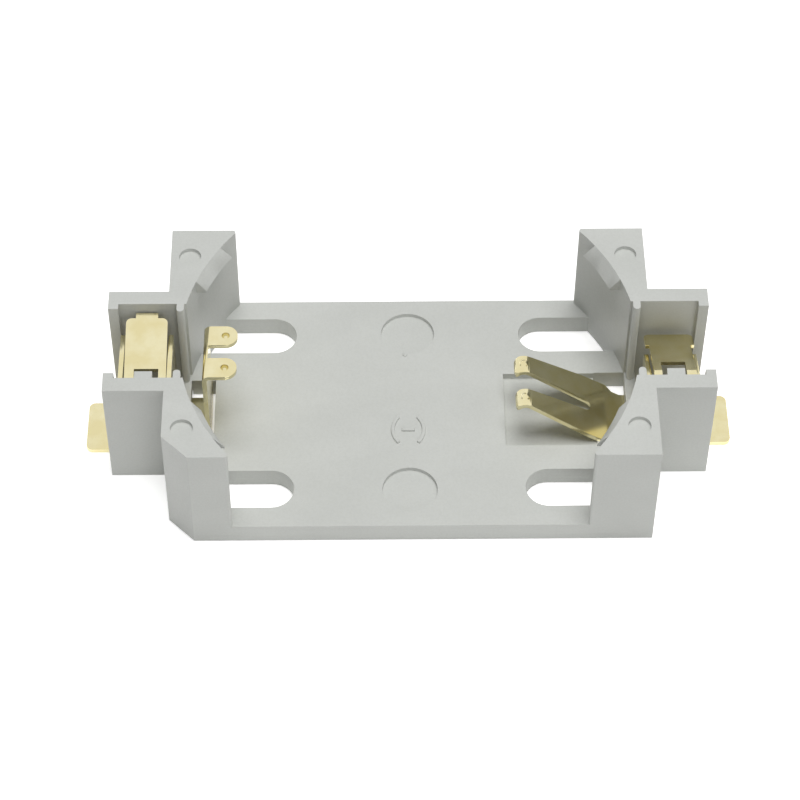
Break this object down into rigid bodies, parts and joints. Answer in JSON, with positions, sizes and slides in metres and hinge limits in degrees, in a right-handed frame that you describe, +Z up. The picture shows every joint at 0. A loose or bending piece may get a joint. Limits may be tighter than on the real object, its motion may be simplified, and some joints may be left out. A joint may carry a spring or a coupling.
{
  "type": "coin cell holder",
  "caption": "Surface-mount coin cell holder: a low moulded frame with snap-hook arms, and a gold-plated spring contact with a flat solder tab in each end block.",
  "frame": {"origin": "centre of the underside, on the circuit board's surface", "axes": "+X along the holder from the positive end to the negative end, +Y to the back edge, +Z up out of the board"},
  "size_m": [0.0356, 0.016, 0.0072],
  "materials": {
    "housing_plastic": "light grey moulded polymer",
    "positive_gold": "gold-plated spring strip",
    "negative_gold": "gold-plated spring strip"
  },
  "bodies": {
    "root": {"housing": "housing_plastic", "positive_contact": "positive_gold", "negative_contact": "negative_gold"}
  },
  "joints": []
}
